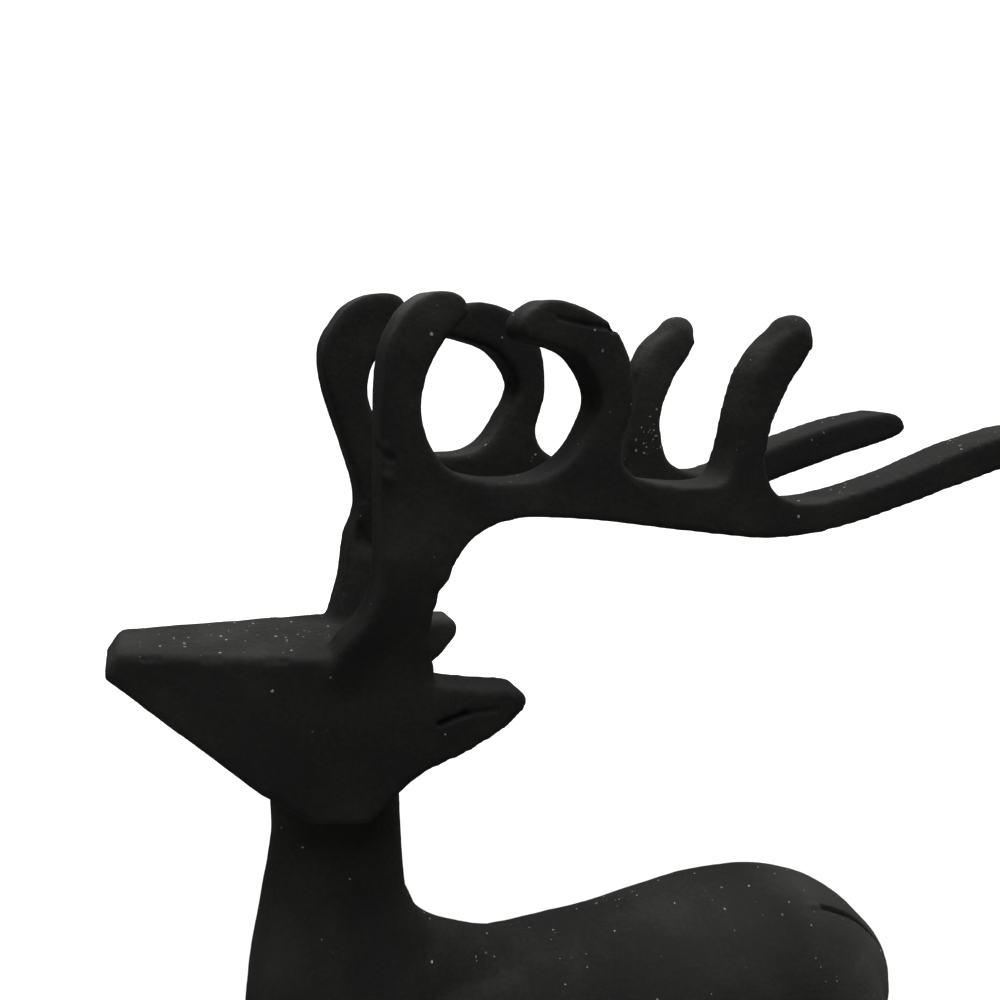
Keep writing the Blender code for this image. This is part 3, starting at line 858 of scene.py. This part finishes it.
def spread(piece, name, shares, patches):
    """Stores a share for each vertex, raised to the share of each patch, which has a place, a
    radius and a share, and fades at its rim."""
    places = vertex_places(piece)
    for centre, radius, share in patches:
        distance = np.linalg.norm(places - np.array(on_casting(centre)), axis=1)
        fading = np.clip(PATCH_FADE - PATCH_FADE * distance / (radius * MM), 0, 1)
        shares = np.maximum(shares, share * fading)
    stored = piece.data.attributes.new(name, "FLOAT", "POINT")
    stored.data.foreach_set("value", shares.astype(np.float32))


def settle_dust(piece, on_top, on_sides, drifts):
    """Lays dust on a piece: more on top than on its sides, and most in the drifts."""
    normals = np.empty(len(piece.data.vertices) * 3)
    piece.data.vertex_normals.foreach_get("vector", normals)
    upwards = np.clip(normals.reshape(-1, 3)[:, 2] * UPWARD_GAIN - UPWARD_LOSS, 0, 1)
    spread(piece, "dusting", on_sides + (on_top - on_sides) * upwards, drifts)


DRIFTS = [  # place, radius, share of the grains that show
    ((13.2, 14.8, 313.4), 6.0, 1.0),
    ((12.2, 14.8, 316.2), 3.0, 1.0),
    ((-66.5, 16.1, 297.1), 2.6, 0.6),
    ((85.6, -18.0, 314.1), 4.0, 0.45),
    ((45.4, -22.3, 303.2), 3.0, 0.4),
    ((-20.6, 14.8, 310.8), 2.4, 0.5),
    ((49.8, -21.0, 174.9), 3.6, 0.4),
    ((-58.2, -26.4, 349.8), 2.4, 0.5),
    ((-39.2, -2.0, 188.9), 3.0, 0.3),
    ((2.0, 6.0, 186.6), 9.0, 0.12),
    ((-14.1, -26.6, 328.9), 2.0, 0.4),
    ((-112.0, 0.0, 274.8), 16.0, 0.13),
    ((-92.0, 0.0, 273.4), 18.0, 0.13),
    ((-78.0, -8.0, 272.6), 10.0, 0.13),
]
# Painted light: patches lightened towards the dust colour, standing in for light falling there
PAINTED_LIGHT_PATCHES = [  # place, radius, share of the dust's colour laid on as painted light
    ((74.0, -12.0, 160.0), 32.0, 0.050),
    ((24.0, -24.0, 186.0), 34.0, 0.018),
    ((60.0, -6.0, 182.0), 24.0, 0.028),
    ((-122.0, 0.0, 273.0), 14.0, 0.020),
    ((-103.0, -15.0, 264.0), 24.0, 0.010),
    ((-57.5, -20.0, 349.0), 10.0, 0.060),
    ((-44.0, 22.0, 264.0), 13.0, 0.060),
    ((-50.0, -25.0, 266.0), 10.0, 0.006),
    ((20.0, 15.0, 334.0), 18.0, 0.024),
    ((-98.0, -6.0, 200.0), 16.0, 0.030),
    ((-40.0, -20.0, 309.7), 12.0, 0.020),
    ((-64.0, -27.0, 294.0), 18.0, 0.010),
]
STAG_TRIANGLES = 190000
SHARPEST_BEND = math.radians(60)  # an edge that bends more than this stays a sharp line

paint = paint_group()
stag_paint = painted_iron(
    "stag_paint",
    paint,
    {
        "Paint": PAINT_BLACK,
        "Rubbed Paint": PAINT_RUBBED,
        "Dust And Painted Light": DUST_AND_PAINTED_LIGHT,
        "Patch Length": 0.022,
        "Grain Length": 0.0011,
        "Speck Spacing": 0.0010,
    },
    relief=0.00022,
)
cut_finer(stag, MARKS.values())
cut_finer(stag, [mark for mark in MARKS.values() if mark[3] < NARROW_MARK])
stag.modifiers.new("Marks", "NODES").node_group = marks_tree(MARKS.values(), stag_paint)
unevenness = unevenness_tree()
make_uneven(
    stag,
    unevenness,
    {
        "Wave Length": 0.014,
        "Wave Depth": 0.0006,
        "Grain Length": 0.0030,
        "Grain Depth": 0.00018,
        "Paint": stag_paint,
    },
)
baked(stag)
cut_level(stag, SOLES)
thin_out(stag, STAG_TRIANGLES)
keep_inside(stag, STAG_LOW, STAG_HIGH)
stag.data.shade_smooth()
stag.data.set_sharp_from_angle(angle=SHARPEST_BEND)
settle_dust(stag, on_top=0.035, on_sides=0.006, drifts=DRIFTS)
# Painted light: lighter patches on the rump, flank, neck front, head, ears and antlers
spread(stag, "painted_light", np.zeros(len(stag.data.vertices)), PAINTED_LIGHT_PATCHES)
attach(stag, "root")
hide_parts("stag")


# The base plate: a low slab, cast flat in the same iron and painted with the stag. The hooves
# stand on it. Its corners are rounded in plan, and its edges are worn soft.

PLATE_LOW, PLATE_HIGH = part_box("base_plate")
PLATE_CORNER = 0.016
PLATE_EDGE = 0.0018
PLATE_GRID = 0.0013
PLATE_SOFTENING_STEPS = 2
PLATE_BLACK = (0.0165, 0.0165, 0.0160, 1.0)

plate_size = PLATE_HIGH - PLATE_LOW
slab = bmesh.new()
bmesh.ops.create_cube(slab, size=1.0)
bmesh.ops.scale(slab, vec=plate_size, verts=slab.verts)
bmesh.ops.translate(slab, vec=(PLATE_LOW + PLATE_HIGH) / 2, verts=slab.verts)


def upright(edge):
    """Whether an edge of the slab is one of its four corners."""
    return abs(edge.verts[0].co.z - edge.verts[1].co.z) > plate_size.z / 2


bevel_edges(slab, [edge for edge in slab.edges if upright(edge)], PLATE_CORNER, segments=16)
bevel_edges(slab, [edge for edge in slab.edges if not upright(edge)], PLATE_EDGE, segments=4)
base = new_object("base_plate_casting", slab)
melt(base, PLATE_GRID, PLATE_SOFTENING_STEPS)
plate_paint = painted_iron(
    "plate_paint",
    paint,
    {
        "Paint": PLATE_BLACK,
        "Rubbed Paint": PAINT_RUBBED,
        "Dust And Painted Light": DUST_AND_PAINTED_LIGHT,
        "Patch Length": 0.026,
        "Grain Length": 0.0012,
        "Speck Spacing": 0.0012,
    },
    relief=0.00024,
)
make_uneven(
    base,
    unevenness,
    {
        "Wave Length": 0.018,
        "Wave Depth": 0.0006,
        "Grain Length": 0.0036,
        "Grain Depth": 0.0003,
        "Paint": plate_paint,
    },
)
baked(base)
keep_inside(base, PLATE_LOW, PLATE_HIGH)
base.data.shade_smooth()
settle_dust(base, on_top=0.05, on_sides=0.008, drifts=[])
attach(base, "root")
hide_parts("base_plate")


# The studio: a pale floor that turns up into a round backdrop, and seven soft lights round the
# statue, mostly overhead. The pale floor throws some light up from below.

FLOOR_RADIUS = 1.6
BACKDROP_BEND = 0.6
BACKDROP_BEND_STEPS = 12
BACKDROP_HEIGHT = 2.4
BACKDROP_GREY = (0.8, 0.8, 0.8, 1.0)
WHITE = (1.0, 1.0, 1.0, 1.0)
GLOW_SPAN = (0.35, 1.0)  # from the statue outwards the sweep glows more, up to plain white
GLOW = (0.2, 1.0)

profile = [(0.0, 0.0), (FLOOR_RADIUS, 0.0)]
for step in range(1, BACKDROP_BEND_STEPS + 1):
    angle = 0.5 * math.pi * step / BACKDROP_BEND_STEPS
    out, up = BACKDROP_BEND * math.sin(angle), BACKDROP_BEND * (1 - math.cos(angle))
    profile.append((FLOOR_RADIUS + out, up))
profile.append((FLOOR_RADIUS + BACKDROP_BEND, BACKDROP_HEIGHT))
sweep = bmesh.new()
corners = [sweep.verts.new((r, 0.0, z)) for r, z in profile]
spokes = [sweep.edges.new(pair) for pair in zip(corners, corners[1:])]
bmesh.ops.spin(
    sweep,
    geom=[*corners, *spokes],
    axis=(0, 0, 1),
    cent=(0, 0, 0),
    angle=2 * math.pi,
    steps=96,
    use_merge=True,
)
bmesh.ops.remove_doubles(sweep, verts=sweep.verts, dist=0.0001)
bmesh.ops.recalc_face_normals(sweep, faces=sweep.faces)
studio = new_object("studio_sweep", sweep)
studio.data.shade_smooth()
pale = bpy.data.materials.new("studio_white")
pale.use_nodes = True
pale_nodes = pale.node_tree
pale_shader = pale_nodes.nodes["Principled BSDF"]
pale_shader.inputs["Base Color"].default_value = BACKDROP_GREY
pale_shader.inputs["Roughness"].default_value = 1.0
pale_shader.inputs["Specular IOR Level"].default_value = 0.0
pale_shader.inputs["Emission Color"].default_value = WHITE
sweep_place = add_node(pale_nodes, "ShaderNodeTexCoord").outputs["Object"]
outwards = add_node(pale_nodes, "ShaderNodeVectorMath", {0: sweep_place}, operation="LENGTH")
sweep_glow = map_range(pale_nodes, outwards.outputs["Value"], GLOW_SPAN, GLOW)
pale_nodes.links.new(sweep_glow, pale_shader.inputs["Emission Strength"])
studio.data.materials.append(pale)
studio.visible_diffuse = False
studio.visible_glossy = False
studio.visible_shadow = False


def soft_light(name, place, target, width, power):
    """A square light that faces the target."""
    lamp = bpy.data.lights.new(name, "AREA")
    lamp.size = width
    lamp.energy = power
    made = bpy.data.objects.new(name, lamp)
    made.location = place
    made.rotation_euler = (Vector(target) - Vector(place)).to_track_quat("-Z", "Y").to_euler()
    bpy.context.scene.collection.objects.link(made)


AIM = (0.0, 0.0, 0.2)
LIGHT_WIDTH = 0.9
SOFT_LIGHTS = {  # place, power in watts
    "light_high_behind": ((0.62, 0.0, 1.68), 17.5),
    "light_high_left": ((0.0, -0.62, 1.68), 10.2),
    "light_right": ((0.0, 1.13, 1.33), 8.3),
    "light_high_ahead": ((-0.62, 0.0, 1.68), 3.6),
    "light_ahead": ((-1.58, 0.0, 0.44), 1.8),
    "light_left_ahead": ((-1.12, -1.12, 0.37), 1.0),
    "light_left_behind": ((1.12, -1.12, 0.37), 0.6),
}
for name, (place, power) in SOFT_LIGHTS.items():
    soft_light(name, place, AIM, LIGHT_WIDTH, power)

FLOOR_LIGHT = (0.0, 0.24)  # its strength from the side, and from below
FLOOR_LIGHT_RISE = (0.0, -0.6)  # the height of a direction at which it starts, and is whole
world = bpy.data.worlds.new("studio_air")
bpy.context.scene.world = world
world.use_nodes = True
air = world.node_tree
direction = add_node(air, "ShaderNodeTexCoord").outputs["Generated"]
direction_height = add_node(air, "ShaderNodeSeparateXYZ", {"Vector": direction}).outputs["Z"]
floor_light = map_range(air, direction_height, FLOOR_LIGHT_RISE, FLOOR_LIGHT)
air.nodes["Background"].inputs["Color"].default_value = WHITE
air.links.new(floor_light, air.nodes["Background"].inputs["Strength"])
bpy.context.scene.view_settings.view_transform = "Standard"


# The camera: at the photograph's place, a little above the back and in front of the shoulder.
# It looks a little down and to the back, and its view is as wide as it is far.

CAMERA_PLACE = (-0.114138, -0.223672, 0.351938)
CAMERA_DOWN = 9.759
CAMERA_TURN = -19.534
CAMERA_LENS = 36.0  # in millimetres, and as long as the film is wide
CAMERA_NEAREST = 0.01

camera = bpy.data.objects.new("camera", bpy.data.cameras.new("camera"))
camera.data.lens = CAMERA_LENS
camera.data.sensor_width = CAMERA_LENS
camera.data.clip_start = CAMERA_NEAREST
camera.location = CAMERA_PLACE
camera.rotation_euler = (math.radians(90 - CAMERA_DOWN), 0.0, math.radians(CAMERA_TURN))
bpy.context.scene.collection.objects.link(camera)
bpy.context.scene.camera = camera

bpy.context.view_layer.update()
